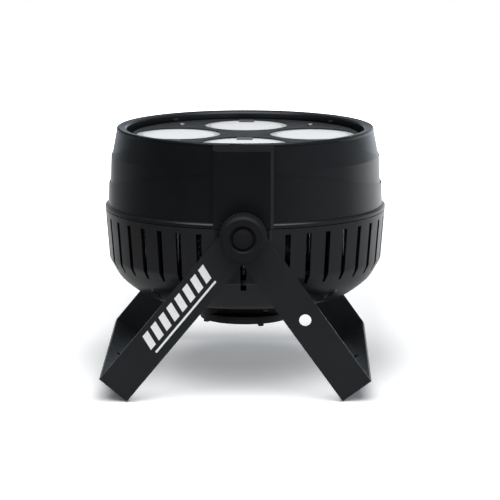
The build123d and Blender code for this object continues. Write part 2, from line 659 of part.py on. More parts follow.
WINDOW_W, WINDOW_H = 40.0, 20.0
WINDOW_Y = 7.0
BUTTON_Y = -15.5
BUTTON_R = 2.7
BUTTON_PITCH = 11.0
COVER_SKIN = 2.0  # thickness of the cover's face
WINDOW_T = 1.0
DISPLAY_T = 6.0
BUTTON_X = [(i - 1.5) * BUTTON_PITCH for i in range(4)]
with BuildPart() as control_cover:
    with BuildSketch(Plane.XY.offset(COVER_LOW_Z)):
        Circle(COVER_R)
    extrude(amount=COVER_TOP_Z - COVER_LOW_Z)
    fillet(control_cover.edges().filter_by(GeomType.CIRCLE).group_by(Axis.Z)[0], 1.2)
    with BuildSketch(Plane.XY.offset(COVER_LOW_Z + COVER_SKIN)):
        Circle(COVER_POCKET_R)
        with Locations((0, -POD_FLAT_Y + POD_WALL + 1)):
            Rectangle(3 * POD_R, POD_R, align=(Align.CENTER, Align.MAX), mode=Mode.SUBTRACT)
    extrude(amount=COVER_TOP_Z - COVER_LOW_Z, mode=Mode.SUBTRACT)
    with BuildSketch(Plane.XY.offset(COVER_LOW_Z)):
        with Locations((0, WINDOW_Y)):
            Rectangle(WINDOW_W - 2, WINDOW_H - 2)
        with Locations(*[(x, BUTTON_Y) for x in BUTTON_X]):
            Circle(BUTTON_R + 0.3)
        with Locations(*[place[:2] for place in cover_places]):
            Circle(COVER_SHANK_R + 0.05)
    extrude(amount=COVER_TOP_Z - COVER_LOW_Z + 1, mode=Mode.SUBTRACT)
    with BuildSketch(Plane.XY.offset(COVER_LOW_Z)):
        with Locations((0, WINDOW_Y)):
            Rectangle(WINDOW_W, WINDOW_H)
    extrude(amount=WINDOW_T, mode=Mode.SUBTRACT)
keep("control_cover", control_cover)
keep(
    "cover_screws",
    pan_screws(cover_places, COVER_HEAD_R, COVER_HEAD_H, COVER_SHANK_R, COVER_SHANK_L, False),
)

with BuildPart() as display_window:
    with BuildSketch(Plane.XY.offset(COVER_LOW_Z + 0.1)):
        with Locations((0, WINDOW_Y)):
            Rectangle(WINDOW_W - 0.2, WINDOW_H - 0.2)
    extrude(amount=WINDOW_T - 0.1)
keep("display_window", display_window)

with BuildPart() as display_module:
    with BuildSketch(Plane.XY.offset(COVER_LOW_Z + WINDOW_T + 0.1)):
        with Locations((0, WINDOW_Y)):
            Rectangle(WINDOW_W - 3, WINDOW_H - 3)
    extrude(amount=DISPLAY_T)
keep("display_module", display_module)

CONTROL_BOARD_Z = COVER_LOW_Z + WINDOW_T + DISPLAY_T + 1.6
CONTROL_W, CONTROL_H = 54.0, 42.0
with BuildPart() as control_board:
    with BuildSketch(Plane.XY.offset(CONTROL_BOARD_Z)):
        with Locations((0, 1)):
            Rectangle(CONTROL_W, CONTROL_H)
    extrude(amount=BOARD_T)
    with Locations(*[(x, BUTTON_Y, CONTROL_BOARD_Z) for x in BUTTON_X]):  # switches
        Box(5, 5, 1.6, align=HUNG)
    with Locations((10, 10, CONTROL_BOARD_Z + BOARD_T)):  # processor
        Box(14, 14, 1.5, align=BASED)
keep("control_board", control_board)


def make_button(x):
    """A round cap through the cover, with a collar that keeps it in."""
    with BuildPart() as button:
        with Locations((x, BUTTON_Y, COVER_LOW_Z - 1.4)):
            Cylinder(BUTTON_R, 6, align=BASED)
        fillet(button.edges().filter_by(GeomType.CIRCLE).group_by(Axis.Z)[0], 0.6)
        with Locations((x, BUTTON_Y, COVER_LOW_Z + COVER_SKIN + 0.1)):
            Cylinder(BUTTON_R + 1.1, 1.2, align=BASED)
    return button


for button_name, button_x in zip(("menu", "down", "up", "enter"), BUTTON_X):
    keep(f"button_{button_name}", make_button(button_x))


# ---------------------------------------------------------------- sockets
SOCKET_FACE_Z = FLOOR_Z - SOCKET_FLANGE_T


def make_socket(x, y, pins, recess_r, pin_r, ring):
    """A chassis socket: flange under the bowl, body above, contacts in a recess.

    ring is the circle that the contacts stand on. With pins, they stand up in the
    recess; without, they are holes in an insert that fills it.
    """
    with BuildPart() as socket:
        with BuildSketch(Plane.XY.offset(SOCKET_FACE_Z)):
            with Locations((x, y)):
                RectangleRounded(SOCKET_FLANGE_W, SOCKET_FLANGE_H, 3)
                with Locations(*SOCKET_HOLES):
                    Circle(SOCKET_SHANK_R + 0.1, mode=Mode.SUBTRACT)
        extrude(amount=SOCKET_FLANGE_T)
        with Locations((x, y, SOCKET_FACE_Z)):
            Cylinder(SOCKET_BODY_R, SOCKET_DEPTH, align=BASED)
            Cylinder(recess_r, SOCKET_RECESS, align=BASED, mode=Mode.SUBTRACT)
        recess_z = SOCKET_FACE_Z + SOCKET_RECESS
        contacts = [(x + px, y + py) for px, py, _ in [on_axis(a, ring) for a in (0, 120, 240)]]
        if pins:
            with Locations(*[(cx, cy, recess_z) for cx, cy in contacts]):
                Cylinder(pin_r, SOCKET_RECESS / 2, align=HUNG)
        else:
            with Locations((x, y, recess_z)):
                Cylinder(recess_r - 1.6, SOCKET_RECESS - 1, align=HUNG)
            with Locations(*[(cx, cy, SOCKET_FACE_Z) for cx, cy in contacts]):
                Cylinder(pin_r, 9, align=BASED, mode=Mode.SUBTRACT)
    return socket


keep("data_in", make_socket(-SOCKET_X, -SOCKET_Y, True, 9.4, 1.2, 5.0))
data_out = make_socket(-SOCKET_X, SOCKET_Y, False, 9.4, 1.4, 5.0)
LATCH_W = 6.0
LATCH_T = 2.8
LATCH_Y = SOCKET_Y + SOCKET_BODY_R - 2.1
with BuildPart() as data_out_with_slot:
    add(data_out.part)
    with Locations((-SOCKET_X, LATCH_Y, SOCKET_FACE_Z)):
        Box(LATCH_W, LATCH_T + 0.6, 8, align=BASED, mode=Mode.SUBTRACT)
keep("data_out", data_out_with_slot)
keep("power_in", make_socket(SOCKET_X, -SOCKET_Y, True, 10.0, 1.8, 4.5))
keep("power_out", make_socket(SOCKET_X, SOCKET_Y, False, 10.4, 1.9, 4.5))

with BuildPart() as data_out_latch:
    with Locations((-SOCKET_X, LATCH_Y, SOCKET_FACE_Z - 1.2)):
        Box(LATCH_W - 0.6, LATCH_T, 6, align=BASED)
    fillet(data_out_latch.edges().group_by(Axis.Z)[0], 0.5)
keep("data_out_latch", data_out_latch)

socket_screw_places = [
    (sx * SOCKET_X + dx, sy * SOCKET_Y + dy, SOCKET_FACE_Z)
    for sx in (-1, 1)
    for sy in (-1, 1)
    for dx, dy in SOCKET_HOLES
]
socket_shank_l = SOCKET_FLANGE_T - 0.1
keep(
    "socket_screws",
    pan_screws(socket_screw_places, 2.6, 1.6, SOCKET_SHANK_R, socket_shank_l, False),
)

# ---------------------------------------------------------------- safety lug
LUG_Y = 64.0
LUG_HOLE_Z = 57.0
LUG_HOLE_R = 6.5
LUG_T = 3.0
LUG_SCREW_X = 15.5
LUG_SHANK_R = 2.0
with BuildPart() as safety_lug:
    with Locations((0, LUG_Y, FLOOR_Z)):
        Box(40, 16, LUG_T, align=HUNG)
    with BuildSketch(Plane(origin=(0, LUG_Y, 0), x_dir=(1, 0, 0), z_dir=(0, -1, 0))):
        with Locations((0, LUG_HOLE_Z)):
            Circle(LUG_HOLE_R + 5)
            eye_h = FLOOR_Z - 1 - LUG_HOLE_Z
            Rectangle(2 * (LUG_HOLE_R + 5), eye_h, align=(Align.CENTER, Align.MIN))
            Circle(LUG_HOLE_R, mode=Mode.SUBTRACT)
    extrude(amount=LUG_T / 2, both=True)
    with Locations((-LUG_SCREW_X, LUG_Y, FLOOR_Z), (LUG_SCREW_X, LUG_Y, FLOOR_Z)):
        Cylinder(LUG_SHANK_R + 0.2, 10, mode=Mode.SUBTRACT)
keep("safety_lug", safety_lug)
lug_places = [(x, LUG_Y, FLOOR_Z - LUG_T) for x in (-LUG_SCREW_X, LUG_SCREW_X)]
keep("lug_screws", pan_screws(lug_places, 3.6, 2.4, LUG_SHANK_R, LUG_T - 0.1, False))

# ---------------------------------------------------------------- pivots and clamps
WASHER_R = 12.0
INSERT_L = 12.0
with BuildPart() as pivot_inserts:
    for side in (-1, 1):
        with Locations(Location((0, side * (PAD_Y - 0.1), PIVOT_Z), (side * 90, 0, 0))):
            Cylinder(INSERT_R, INSERT_L, align=BASED)
            Cylinder(STUD_HOLE_R, INSERT_L, align=BASED, mode=Mode.SUBTRACT)
keep("pivot_inserts", pivot_inserts)


def washers(low_y, high_y):
    """One washer on each side, between two distances from the middle."""
    with BuildPart() as pair:
        for side in (-1, 1):
            with Locations(Location((0, side * low_y, PIVOT_Z), (-side * 90, 0, 0))):
                thick = high_y - low_y
                Cylinder(WASHER_R, thick, align=BASED)
                Cylinder(STUD_HOLE_R, thick, align=BASED, mode=Mode.SUBTRACT)
    return pair


keep("friction_washers", washers(PAD_Y, INNER_FACE_Y - STRIP_T))
keep("spacer_washers", washers(INNER_FACE_Y, OUTER_FACE_Y - STRIP_T))


KNOB_BACK_Y = OUTER_FACE_Y + FIT
HUB_R = 9.2  # dome in the knob's middle
HUB_GROOVE = 3.4  # depth of the groove round it
STUD_TIP_R = STUD_R - 1.2  # the end moulded into the knob
STUD_TIP_L = 8.0
STUD_L = 18.0


def make_knob(side):
    """A fluted clamp knob, its back on the bracket's side; side is -1 or 1."""
    out = Plane(origin=(0, side * KNOB_BACK_Y, PIVOT_Z), x_dir=(1, 0, 0), z_dir=(0, side, 0))
    section = Plane(origin=out.origin, x_dir=(1, 0, 0), z_dir=(0, 0, side))
    with BuildPart() as knob:
        with BuildSketch(section):
            Polygon(
                (0, 0),
                (KNOB_R - 0.4, 0),
                (KNOB_R, 1),
                (KNOB_R - 0.5, KNOB_T - 3.6),
                (KNOB_R - 1.2, KNOB_T - 1.6),
                (KNOB_R - 3.4, KNOB_T),
                (HUB_R + 2.6, KNOB_T),
                (HUB_R + 1.8, KNOB_T - 0.6),
                (HUB_R + 1.2, KNOB_T - HUB_GROOVE),
                (HUB_R, KNOB_T - HUB_GROOVE),
                (HUB_R - 0.8, KNOB_T - 1.7),
                (HUB_R / 2, KNOB_T - 0.9),
                (0, KNOB_T - 0.7),
                align=None,
            )
        revolve(axis=Axis(out.origin, (0, side, 0)))
        with BuildSketch(out):
            with PolarLocations(KNOB_R + 0.35, FLUTES):
                Circle(1.15)
        extrude(amount=KNOB_T, mode=Mode.SUBTRACT)
        with BuildSketch(out):
            Circle(STUD_TIP_R)
        extrude(amount=STUD_TIP_L, mode=Mode.SUBTRACT)
    return knob


def make_stud(side):
    """The knob's steel stud: moulded into the knob, running in the insert."""
    face = Plane(origin=(0, side * KNOB_BACK_Y, PIVOT_Z), x_dir=(1, 0, 0), z_dir=(0, side, 0))
    with BuildPart() as stud:
        with BuildSketch(face):
            Circle(STUD_R)
        extrude(amount=-STUD_L)
        with BuildSketch(face):
            Circle(STUD_TIP_R)
        extrude(amount=STUD_TIP_L)
        chamfer(stud.edges().filter_by(GeomType.CIRCLE).sort_by(Axis.Y)[-1 if side < 0 else 0], 0.8)
    return stud


for side_name, side in (("front", -1), ("back", 1)):
    keep(f"knob_{side_name}", make_knob(side))
    keep(f"stud_{side_name}", make_stud(side))


# ---------------------------------------------------------------- brackets
def stand_angle(length, foot_w):
    """The leg's angle below horizontal with the base's lower edge on the floor."""
    return asin(PIVOT_Z / hypot(length, foot_w / 2)) - atan2(foot_w / 2, length)


def make_bracket(length, face_y, head_w, foot_w, lean, leg_holes):
    """A U of bent strip; lean is -1 towards -X and 1 towards +X."""
    angle = stand_angle(length, foot_w)
    along = Vector(lean * cos(angle), 0, -sin(angle))
    across = along.cross(Vector(0, 1, 0))
    pivot = (0, 0, PIVOT_Z)
    bent = Plane(origin=pivot, x_dir=along, z_dir=across)
    flat = Plane(origin=pivot, x_dir=along, z_dir=(0, -1, 0))
    head_r = head_w / 2
    with BuildPart() as bracket:
        with BuildSketch(bent) as strip:
            with Locations(((length - head_r) / 2, 0)):
                Rectangle(length + head_r, 2 * face_y)
            fillet(strip.vertices().group_by(Axis.X)[-1], BEND_R)
            with Locations(((length - STRIP_T - head_r) / 2 - 1, 0)):
                Rectangle(length - STRIP_T + head_r + 2, 2 * (face_y - STRIP_T), mode=Mode.SUBTRACT)
        extrude(amount=head_w, both=True)
        with BuildSketch(flat):
            with BuildLine():
                ThreePointArc((0, head_r), (-head_r, 0), (0, -head_r))
                Polyline(
                    (0, -head_r),
                    (length + 1, -foot_w / 2),
                    (length + 1, foot_w / 2),
                    (0, head_r),
                )
            make_face()
        extrude(amount=face_y + 1, both=True, mode=Mode.INTERSECT)
        with BuildSketch(flat):
            Circle(STUD_HOLE_R)
            if leg_holes:
                with Locations((LEG_HOLE_AT, 0)):
                    Circle(BOLT_HOLE_R)
        extrude(amount=face_y + 1, both=True, mode=Mode.SUBTRACT)
        base = Plane(origin=Vector(*pivot) + along * length, z_dir=along)
        with BuildSketch(base):
            Circle(BASE_HOLE_R)
        extrude(amount=-STRIP_T - 1, mode=Mode.SUBTRACT)
    return bracket


outer_bracket = make_bracket(OUTER_LENGTH, OUTER_FACE_Y, OUTER_HEAD_W, OUTER_FOOT_W, -1, False)
inner_bracket = make_bracket(INNER_LENGTH, INNER_FACE_Y, INNER_HEAD_W, INNER_FOOT_W, 1, True)
keep("outer_bracket", outer_bracket)
keep("inner_bracket", inner_bracket)

# ---------------------------------------------------------------- export
os.makedirs("parts", exist_ok=True)
for name, piece in pieces.items():
    export_step(piece, f"parts/{name}.step")
outer_angle = degrees(stand_angle(OUTER_LENGTH, OUTER_FOOT_W))
inner_angle = degrees(stand_angle(INNER_LENGTH, INNER_FOOT_W))
print(f"the brackets stand at {outer_angle:.2f} and {inner_angle:.2f} degrees")
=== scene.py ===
"""Par can light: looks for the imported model. Metres, the CAD's own frame.

The CAD parts keep their shapes and places. This script gives each its material,
adds the fine pieces that only matter to the eye, and sets up a pale studio.
"""
import bmesh
import bpy
from math import cos, hypot, pi, radians, sin, sqrt
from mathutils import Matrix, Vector


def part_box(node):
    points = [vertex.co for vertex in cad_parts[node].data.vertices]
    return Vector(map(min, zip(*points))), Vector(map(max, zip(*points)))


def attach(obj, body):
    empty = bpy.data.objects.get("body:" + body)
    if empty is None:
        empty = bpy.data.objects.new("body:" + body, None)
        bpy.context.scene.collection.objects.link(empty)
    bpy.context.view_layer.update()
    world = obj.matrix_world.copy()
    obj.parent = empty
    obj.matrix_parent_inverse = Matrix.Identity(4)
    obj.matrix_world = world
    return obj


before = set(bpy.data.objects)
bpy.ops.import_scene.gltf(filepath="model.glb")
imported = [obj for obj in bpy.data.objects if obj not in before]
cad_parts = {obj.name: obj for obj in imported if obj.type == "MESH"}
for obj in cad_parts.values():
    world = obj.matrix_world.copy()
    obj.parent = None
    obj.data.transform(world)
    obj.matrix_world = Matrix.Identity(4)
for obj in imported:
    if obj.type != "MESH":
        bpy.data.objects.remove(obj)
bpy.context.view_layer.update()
MM = 0.001


# ---------------------------------------------------------------- camera and studio
def aim(obj, target):
    """Point an object's -Z at a place, keeping it upright."""
    direction = Vector(target) - obj.location
    obj.rotation_euler = direction.to_track_quat("-Z", "Y").to_euler()


def add_camera():
    """A long lens a little above the light and to its right, as the photograph was taken."""
    camera_data = bpy.data.cameras.new("camera")
    camera_data.sensor_width = 36
    camera_data.lens = 221
    camera_data.clip_end = 50
    camera = bpy.data.objects.new("camera", camera_data)
    bpy.context.collection.objects.link(camera)
    camera.location = (0.0361, -2.6875, 0.5766)
    aim(camera, (0.0042, 0, 0.1089))
    bpy.context.scene.camera = camera


def add_softbox(place, target, size, watts):
    """A rectangular area light, size metres wide and deep, turned to a target."""
    lamp = bpy.data.lights.new("softbox", "AREA")
    lamp.shape = "RECTANGLE"
    lamp.size, lamp.size_y = size
    lamp.energy = watts
    light = bpy.data.objects.new("softbox", lamp)
    bpy.context.collection.objects.link(light)
    light.location = place
    aim(light, target)


# How bright the room is all round, as (degrees from straight behind towards +X, strength)
ROOM = ((-180, 0.04), (-110, 0.05), (-90, 0.1), (-53, 0.13), (-37, 0.15), (-24, 0.19), (0, 0.14),
        (20, 0.34), (50, 0.36), (70, 0.35), (90, 0.36), (112, 0.38))
ROOM_TINT = (0.88, 0.98, 1.08)
CEILING_SHARE = 0.6  # overhead, as a share of the room's strength at the horizon
SWEEP_STRENGTH = 4.2  # the lit sweep low down behind, as a multiple of the room's strength there


def remap(tree, value, source, target=(0.0, 1.0)):
    """A value carried from one range to another, and held at the ends."""
    node = tree.nodes.new("ShaderNodeMapRange")
    for socket, number in zip(("From Min", "From Max", "To Min", "To Max"), (*source, *target)):
        node.inputs[socket].default_value = number
    tree.links.new(value, node.inputs["Value"])
    return node.outputs["Result"]


def calculate(tree, operation, *values):
    """A maths node on outputs or numbers."""
    node = tree.nodes.new("ShaderNodeMath")
    node.operation = operation
    for socket, value in zip(node.inputs, values):
        if isinstance(value, float):
            socket.default_value = value
        else:
            tree.links.new(value, socket)
    return node.outputs["Value"]


def color_steps(tree, value, steps):
    """A ramp over value with (place, colour) steps, in order."""
    ramp = tree.nodes.new("ShaderNodeValToRGB")
    elements = ramp.color_ramp.elements
    while len(elements) < len(steps):
        elements.new(0.5)
    for element, (place, color) in zip(elements, steps):
        element.position = place
        element.color = (*color, 1)
    tree.links.new(value, ramp.inputs["Fac"])
    return ramp.outputs["Color"]


def room_color(tree, direction):
    """The room's colour by azimuth, from the ROOM table."""
    turn = tree.nodes.new("ShaderNodeTexGradient")
    turn.gradient_type = "RADIAL"
    tree.links.new(direction, turn.inputs["Vector"])
    behind = 0.75  # the gradient's value straight behind, along +Y
    steps = sorted(((behind - angle / 360) % 1.0, tuple(strength * tint for tint in ROOM_TINT))
                   for angle, strength in ROOM)
    return color_steps(tree, turn.outputs["Fac"], steps)


def room_strength(tree, direction):
    """The room's fade towards the ceiling, with the sweep's glow low down behind."""
    part = tree.nodes.new("ShaderNodeSeparateXYZ")
    tree.links.new(direction, part.inputs["Vector"])
    fade = remap(tree, part.outputs["Z"], (0.5, 0.85), (1.0, CEILING_SHARE))
    low = remap(tree, part.outputs["Z"], (0.12, 0.34), (1.0, 0.0))
    behind = remap(tree, part.outputs["Y"], (0.55, 0.95), (0.0, SWEEP_STRENGTH))
    return calculate(tree, "MULTIPLY_ADD", low, behind, fade)


def add_world():
    """White behind the object, and a grey room, lightest at the rear right, to reflect."""
    world = bpy.data.worlds.new("studio")
    world.use_nodes = True
    tree = world.node_tree
    white = tree.nodes["Background"]
    white.inputs["Color"].default_value = (1, 1, 1, 1)
    white.inputs["Strength"].default_value = 1.0
    direction = tree.nodes.new("ShaderNodeTexCoord").outputs["Generated"]
    room = tree.nodes.new("ShaderNodeBackground")
    tree.links.new(room_color(tree, direction), room.inputs["Color"])
    tree.links.new(room_strength(tree, direction), room.inputs["Strength"])
    seen = tree.nodes.new("ShaderNodeLightPath")
    mix = tree.nodes.new("ShaderNodeMixShader")
    tree.links.new(seen.outputs["Is Camera Ray"], mix.inputs["Fac"])
    tree.links.new(room.outputs["Background"], mix.inputs[1])
    tree.links.new(white.outputs["Background"], mix.inputs[2])
    tree.links.new(mix.outputs["Shader"], tree.nodes["World Output"].inputs["Surface"])
    bpy.context.scene.world = world
    bpy.context.scene.view_settings.view_transform = "Standard"


FLOOR_SIDE, FLOOR_NEAR, FLOOR_FAR = 7.0, -0.75, 2.2  # the paper's edges, in metres
NEAR_BOUNCE = 0.4  # what the paper throws back near the object, as a share of white
LEFT_BOUNCE = 0.2  # and on the left, where the sweep ends, as a share of that
# Painted light: the paper's glow beside the object, as (metres out from the middle, strength). It is
# weakest beside the feet, a painted shadow where they touch
LEAST_GLOW = ((0.07, 0.22), (0.1, 0.06), (0.122, 0.06), (0.16, 0.3))
GLOW_REACH = 0.2


def paper_glow(tree, place):
    """The paper's painted glow at a place, from LEAST_GLOW to full at the back."""
    beside = calculate(tree, "ABSOLUTE", place.outputs["X"])
    width = calculate(tree, "DIVIDE", beside, GLOW_REACH)
    steps = [(out / GLOW_REACH, (level,) * 3) for out, level in LEAST_GLOW]
    glow = remap(tree, place.outputs["Y"], (0.35, 1.1))
    tree.links.new(color_steps(tree, width, steps), glow.node.inputs["To Min"])
    return glow


def paper_share(tree, place, is_camera):
    """What the paper gives: all of it to the camera, and little to what it lights near by, as painted
    shade.
    """
    far_off = remap(tree, place.outputs["Y"], (0.1, 0.5), (NEAR_BOUNCE, 1.0))
    leftward = remap(tree, place.outputs["X"], (-0.8, -0.2), (LEFT_BOUNCE, 1.0))
    return calculate(tree, "MAXIMUM", is_camera, calculate(tree, "MULTIPLY", far_off, leftward))


def white_paper():
    """White paper for the floor. A long way off, the camera sees plain white on every side."""
    paper = bpy.data.materials.new("paper")
    paper.use_nodes = True
    tree = paper.node_tree
    shader = tree.nodes["Principled BSDF"]
    shader.inputs["Roughness"].default_value = 0.7
    shader.inputs["Specular IOR Level"].default_value = 0.1
    shader.inputs["Emission Color"].default_value = (1, 1, 1, 1)
    spot = tree.nodes.new("ShaderNodeTexCoord").outputs["Object"]
    place = tree.nodes.new("ShaderNodeSeparateXYZ")
    tree.links.new(spot, place.inputs["Vector"])
    is_camera = tree.nodes.new("ShaderNodeLightPath").outputs["Is Camera Ray"]
    share = paper_share(tree, place, is_camera)
    reach = tree.nodes.new("ShaderNodeVectorMath")
    reach.operation = "LENGTH"
    tree.links.new(spot, reach.inputs[0])
    distance = remap(tree, reach.outputs["Value"], (0.6, 1.4))
    near_glow = calculate(tree, "MULTIPLY", paper_glow(tree, place), share)
    glow = calculate(tree, "MULTIPLY_ADD", distance, is_camera, near_glow)
    tree.links.new(glow, shader.inputs["Emission Strength"])
    tone = tree.nodes.new("ShaderNodeCombineColor")
    for channel in ("Red", "Green", "Blue"):
        tree.links.new(share, tone.inputs[channel])
    # painted shade: near the object the paper's colour is darker to every ray but the camera's
    tree.links.new(tone.outputs["Color"], shader.inputs["Base Color"])
    return paper


def add_floor():
    """A paper floor with a glow that rises towards the back, as on a lit sweep."""
    floor_mesh = bpy.data.meshes.new("floor")
    corners = [(-FLOOR_SIDE, FLOOR_NEAR, 0), (FLOOR_SIDE, FLOOR_NEAR, 0),
               (FLOOR_SIDE, FLOOR_FAR, 0), (-FLOOR_SIDE, FLOOR_FAR, 0)]
    floor_mesh.from_pydata(corners, [], [(0, 1, 2, 3)])
    floor = bpy.data.objects.new("floor", floor_mesh)
    bpy.context.collection.objects.link(floor)
    floor.data.materials.append(white_paper())


def add_studio():
    """One large softbox above and in front, in the grey room."""
    add_world()
    add_floor()
    add_softbox((0, -1.1, 2.2), (0, -0.1, 0), (3.0, 2.6), 92)


# ---------------------------------------------------------------- materials
class Finish:
    """A node material with its shader, and short calls for the detail it needs."""

    def __init__(self, name, color, roughness, metallic=0.0, specular=0.5):
        self.material = bpy.data.materials.new(name)
        self.material.use_nodes = True
        self.tree = self.material.node_tree
        self.shader = self.tree.nodes["Principled BSDF"]
        self.set("Base Color", (*color, 1))
        self.set("Roughness", roughness)
        self.set("Metallic", metallic)
        self.set("Specular IOR Level", specular)
        self.material.diffuse_color = (*color, 1)

    def set(self, socket, value):
        self.shader.inputs[socket].default_value = value
        return self

    def place(self):
        """The point on the surface, in metres."""
        return self.tree.nodes.new("ShaderNodeTexCoord").outputs["Object"]

    def noise(self, size, detail=2.0, stretch=(1, 1, 1)):
        """Noise with features about size metres across; stretch lengthens them."""
        mapping = self.tree.nodes.new("ShaderNodeMapping")
        mapping.inputs["Scale"].default_value = tuple(1 / part for part in stretch)
        self.tree.links.new(self.place(), mapping.inputs["Vector"])
        noise = self.tree.nodes.new("ShaderNodeTexNoise")
        noise.inputs["Scale"].default_value = 1 / size
        noise.inputs["Detail"].default_value = detail
        self.tree.links.new(mapping.outputs["Vector"], noise.inputs["Vector"])
        return noise.outputs["Fac"]

    def rise(self, low_z, high_z):
        """0 up to one height in metres, 1 from another, and even between them."""
        place = self.tree.nodes.new("ShaderNodeSeparateXYZ")
        self.tree.links.new(self.place(), place.inputs["Vector"])
        return remap(self.tree, place.outputs["Z"], (low_z, high_z))

    def ramp(self, value, low, high, stops=(0.35, 0.65)):
        """value spread between two shades or two numbers."""
        shades = [(shade,) * 3 if isinstance(shade, float) else shade for shade in (low, high)]
        return color_steps(self.tree, value, list(zip(stops, shades)))

    def vary_color(self, value, low, high, stops=(0.35, 0.65)):
        self.tree.links.new(self.ramp(value, low, high, stops), self.shader.inputs["Base Color"])
        return self

    def vary_roughness(self, value, low, high):
        self.tree.links.new(self.ramp(value, low, high), self.shader.inputs["Roughness"])
        return self

    def bump(self, value, depth, strength):
        """Relief of depth metres from value; a second call adds to the first."""
        bump = self.tree.nodes.new("ShaderNodeBump")
        bump.inputs["Strength"].default_value = strength
        bump.inputs["Distance"].default_value = depth
        self.tree.links.new(value, bump.inputs["Height"])
        normal = self.shader.inputs["Normal"]
        if normal.is_linked:
            self.tree.links.new(normal.links[0].from_socket, bump.inputs["Normal"])
        self.tree.links.new(bump.outputs["Normal"], normal)
        return self


EVEN = (0.0, 1.0)  # a ramp's stops for a value that already goes from 0 to 1
PLASTIC_TINT = (0.92, 0.94, 1.0, 1)  # the black finishes reflect a little cold
COAT_TINT = (0.84, 0.94, 1.0, 1)
ALUMINIUM = (0.74, 0.75, 0.77)


def moulded_plastic(name, shade, roughness=0.42, specular=0.4):
    """Dark plastic from an etched mould: a fine grain and faint flow marks."""
    finish = Finish(name, (shade, shade, shade * 1.06), roughness, specular=specular)
    finish.set("Specular Tint", PLASTIC_TINT)
    flow = finish.noise(0.045, 3, (1, 1, 2.5))
    dark = (shade * 0.86, shade * 0.87, shade * 0.93)
    light = (shade * 1.14, shade * 1.15, shade * 1.2)
    finish.vary_color(flow, dark, light)
    finish.vary_roughness(finish.noise(0.02), roughness - 0.012, roughness + 0.015)
    return finish.bump(finish.noise(0.0006, 1), 0.00004, 0.35)


def powder_coat(name, shade, roughness=0.48):
    """Powder coat on steel: orange peel with a fine sparkle-free grain."""
    finish = Finish(name, (shade, shade * 1.01, shade * 1.06), roughness, specular=0.4)
    finish.set("Specular Tint", COAT_TINT)
    finish.vary_color(finish.noise(0.03), (shade * 0.9,) * 3, (shade * 1.12, shade * 1.13, shade * 1.18))
    finish.vary_roughness(finish.noise(0.006), roughness - 0.06, roughness + 0.06)
    finish.bump(finish.noise(0.0022, 2), 0.00008, 0.3)
    return finish.bump(finish.noise(0.0005, 1), 0.00003, 0.35)


def brushed(finish, roughness, grain, stretch):
    """The uneven gloss of bare metal, and its grain, drawn out by stretch."""
    finish.vary_roughness(finish.noise(0.004), roughness - 0.07, roughness + 0.1)
    return finish.bump(finish.noise(grain, 2, stretch), 0.00003, 0.4)


def bare_metal(name, color, roughness, grain, stretch=(1, 1, 1)):
    """Bare metal, slightly stained."""
    finish = Finish(name, color, roughness, metallic=1.0)
    finish.vary_color(finish.noise(0.02), tuple(part * 0.88 for part in color), color)
    return brushed(finish, roughness, grain, stretch)


def shaded_fin_aluminium(name, shade_z, unshaded_z):
    """Cast aluminium, bright above, with painted shade that darkens the fins' lower ends."""
    finish = Finish(name, ALUMINIUM, 0.34, metallic=1.0)
    # painted shade: the colour falls to nearly black towards the fins' lower ends
    finish.vary_color(finish.rise(shade_z, unshaded_z), (0.07, 0.075, 0.08), (0.82, 0.83, 0.85), EVEN)
    return brushed(finish, 0.34, 0.0006, (1, 1, 8))


def milky_lens(name, flange_z):
    """Translucent white plastic; the thin flange is painted darker, as painted shade for the dark that
    shows through it.
    """
    finish = Finish(name, (0.92, 0.93, 0.93), 0.32)
    above = finish.rise(flange_z + 0.0001, flange_z + 0.0007)
    # painted shade: the flange's colour is darker than the lens above it
    finish.vary_color(above, (0.5, 0.52, 0.53), (0.8, 0.81, 0.81), EVEN)
    finish.set("Subsurface Weight", 0.25).set("Subsurface Radius", (1, 1, 1))
    finish.set("Subsurface Scale", 0.004)
    return finish.bump(finish.noise(0.0012, 2), 0.00003, 0.25)


def circuit_board(name):
    """Green solder mask with tracks under it."""
    finish = Finish(name, (0.02, 0.14, 0.05), 0.35)
    tracks = finish.tree.nodes.new("ShaderNodeTexBrick")
    tracks.inputs["Scale"].default_value = 140
    tracks.inputs["Mortar Size"].default_value = 0.06
    tracks.inputs["Color1"].default_value = (0.015, 0.11, 0.04, 1)
    tracks.inputs["Color2"].default_value = (0.02, 0.15, 0.055, 1)
    tracks.inputs["Mortar"].default_value = (0.05, 0.24, 0.1, 1)
    finish.tree.links.new(finish.place(), tracks.inputs["Vector"])
    finish.tree.links.new(tracks.outputs["Color"], finish.shader.inputs["Base Color"])
    return finish


def phosphor(name):
    """The yellow phosphor of an LED module."""
    finish = Finish(name, (0.85, 0.62, 0.12), 0.5)
    return finish.vary_color(finish.noise(0.004), (0.8, 0.58, 0.1), (0.9, 0.68, 0.16))


def soft_rubber(name, shade):
    """Matt rubber or button plastic with a dusty bloom."""
    finish = Finish(name, (shade,) * 3, 0.7, specular=0.3)
    finish.vary_color(finish.noise(0.003), (shade * 0.85,) * 3, (shade * 1.15,) * 3)
    return finish.bump(finish.noise(0.0004), 0.00003, 0.4)


def smoked_window(name):
    """Polished smoked plastic over the display, which shows faintly through."""
    finish = Finish(name, (0.3, 0.27, 0.27), 0.08)
    finish.vary_roughness(finish.noise(0.008), 0.02, 0.06)
    return finish.set("Transmission Weight", 0.9).set("IOR", 1.49)


def screen_print(name):
    """White ink on powder coat, a little thin where the coat's grain shows."""
    finish = Finish(name, (0.95, 0.95, 0.95), 0.5, specular=0.3)
    finish.vary_color(finish.noise(0.0016, 3), (0.88, 0.89, 0.89), (0.97, 0.97, 0.97))
    return finish.bump(finish.noise(0.0022, 2), 0.00006, 0.3)


def lit_segment(name):
    """A red display segment, lit."""
    finish = Finish(name, (0.6, 0.03, 0.02), 0.4)
    finish.vary_color(finish.noise(0.001), (0.5, 0.02, 0.01), (0.7, 0.05, 0.03))
    return finish.set("Emission Color", (1.0, 0.08, 0.04, 1)).set("Emission Strength", 2.5)


